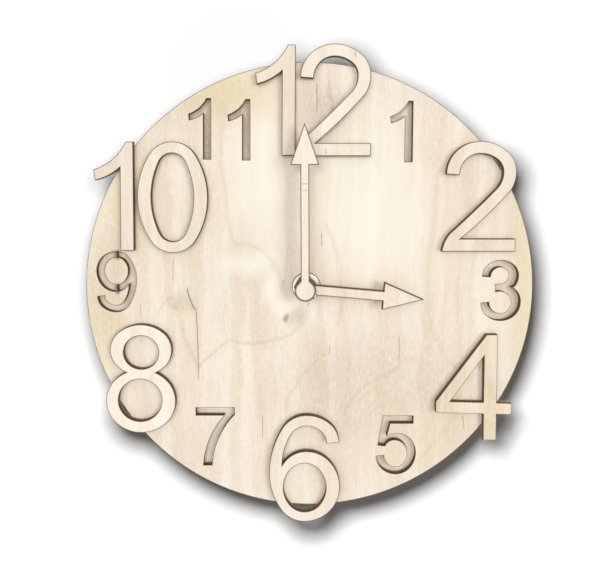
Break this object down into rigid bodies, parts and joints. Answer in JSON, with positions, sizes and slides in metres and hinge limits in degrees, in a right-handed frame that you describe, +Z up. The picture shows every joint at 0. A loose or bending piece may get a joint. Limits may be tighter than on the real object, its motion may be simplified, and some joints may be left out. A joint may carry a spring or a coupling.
{
  "type": "plywood wall clock",
  "caption": "Round laser-cut plywood wall clock with cut-through and raised overhanging numerals, wooden arrow hands, and a battery quartz movement with its gear train behind.",
  "frame": {"origin": "where the axis of the hands meets the wall, on the flat back of the movement", "axes": "+Z up as the clock hangs, -Y from the wall towards the viewer, +X to the viewer's right; the hands turn about Y"},
  "size_m": [0.25, 0.0355, 0.2673],
  "materials": {
    "dial_birch": "pale birch plywood, fine sanded and unvarnished, edges browned by the laser",
    "numeral_birch": "pale birch plywood, slightly yellower than the dial, edges browned by the laser",
    "hand_birch": "pale birch plywood, edges browned by the laser",
    "case_plastic": "charcoal moulded plastic with a fine spark texture",
    "gear_plastic": "natural acetal, satin",
    "plate_plastic": "dark grey moulded plastic",
    "knob_plastic": "charcoal moulded plastic, satin",
    "threaded_brass": "turned brass, satin",
    "nut_bronze": "dark bronzed steel, satin",
    "washer_steel": "bright stamped steel",
    "screw_steel": "zinc plated steel",
    "spring_nickel": "nickel plated spring steel",
    "soft_iron": "annealed soft iron",
    "magnet": "sintered ferrite",
    "copper_wire": "enamelled copper wire",
    "board": "brown phenolic board",
    "resin": "black potting resin",
    "rubber": "black rubber",
    "cell_jacket": "plain jacketed steel can"
  },
  "bodies": {
    "clock": {"back_case": "case_plastic", "backing_disc": "dial_birch", "circuit_board": "board", "coil_bobbin": "case_plastic", "coil_core": "soft_iron", "coil_winding": "copper_wire", "contact_negative": "spring_nickel", "contact_positive": "spring_nickel", "dial_disc": "dial_birch", "dial_washer": "washer_steel", "driver_chip": "resin", "front_case": "case_plastic", "hanger": "case_plastic", "hex_nut": "nut_bronze", "numeral_eight": "numeral_birch", "numeral_four": "numeral_birch", "numeral_six": "numeral_birch", "numeral_ten_nought": "numeral_birch", "numeral_ten_one": "numeral_birch", "numeral_twelve_one": "numeral_birch", "numeral_twelve_two": "numeral_birch", "numeral_two": "numeral_birch", "plate_screws": "screw_steel", "quartz_crystal": "spring_nickel", "rear_plate": "plate_plastic", "rubber_washer": "rubber", "stator": "soft_iron", "threaded_bushing": "threaded_brass", "train_plate": "plate_plastic"},
    "minute": {"minute_arbor": "gear_plastic", "minute_hand": "hand_birch", "minute_hand_bush": "threaded_brass"},
    "hour": {"hour_wheel": "gear_plastic", "hour_hand": "hand_birch", "hour_hand_bush": "threaded_brass"},
    "motion": {"minute_wheel": "gear_plastic"},
    "setting": {"setting_arbor": "gear_plastic", "setting_knob": "knob_plastic"},
    "centre": {"centre_wheel": "gear_plastic"},
    "third": {"third_wheel": "gear_plastic"},
    "seconds": {"seconds_wheel": "gear_plastic", "seconds_arbor": "screw_steel"},
    "intermediate": {"intermediate_wheel": "gear_plastic"},
    "rotor": {"rotor_pinion": "gear_plastic", "rotor_magnet": "magnet"},
    "cell": {"battery": "cell_jacket"}
  },
  "joints": [
    {"name": "minute_spin", "type": "hinge", "parent": "clock", "child": "minute", "pos_m": [0, -0.012, 0], "axis": [0, 1, 0], "continuous": true},
    {"name": "hour_spin", "type": "hinge", "parent": "clock", "child": "hour", "pos_m": [0, -0.012, 0], "axis": [0, 1, 0], "continuous": true},
    {"name": "minute_wheel_spin", "type": "hinge", "parent": "clock", "child": "motion", "pos_m": [0, -0.012, 0.0084], "axis": [0, 1, 0], "continuous": true},
    {"name": "setting_spin", "type": "hinge", "parent": "clock", "child": "setting", "pos_m": [-0.00643, -0.012, 0.0138], "axis": [0, 1, 0], "continuous": true},
    {"name": "intermediate_spin", "type": "hinge", "parent": "clock", "child": "intermediate", "pos_m": [0.00552, -0.012, 0.00463], "axis": [0, 1, 0], "continuous": true},
    {"name": "rotor_spin", "type": "hinge", "parent": "clock", "child": "rotor", "pos_m": [0.0086, -0.012, 0.00996], "axis": [0, 1, 0], "continuous": true},
    {"name": "seconds_spin", "type": "hinge", "parent": "clock", "child": "seconds", "pos_m": [0, -0.012, 0], "axis": [0, 1, 0], "continuous": true},
    {"name": "third_spin", "type": "hinge", "parent": "clock", "child": "third", "pos_m": [-0.00837, -0.012, -0.00148], "axis": [0, 1, 0], "continuous": true},
    {"name": "centre_spin", "type": "hinge", "parent": "clock", "child": "centre", "pos_m": [0, -0.012, 0], "axis": [0, 1, 0], "continuous": true},
    {"name": "cell_slide", "type": "slide", "parent": "clock", "child": "cell", "axis": [0, 1, 0], "range_m": [0, 0.018]}
  ],
  "couplings": [
    {"joint": "hour_spin", "follows": "minute_spin", "ratio": 0.083333},
    {"joint": "minute_wheel_spin", "follows": "minute_spin", "ratio": -0.33333},
    {"joint": "setting_spin", "follows": "minute_spin", "ratio": 1},
    {"joint": "rotor_spin", "follows": "intermediate_spin", "ratio": -6},
    {"joint": "seconds_spin", "follows": "intermediate_spin", "ratio": -0.2},
    {"joint": "third_spin", "follows": "intermediate_spin", "ratio": 0.026667},
    {"joint": "centre_spin", "follows": "intermediate_spin", "ratio": -0.0033333}
  ]
}
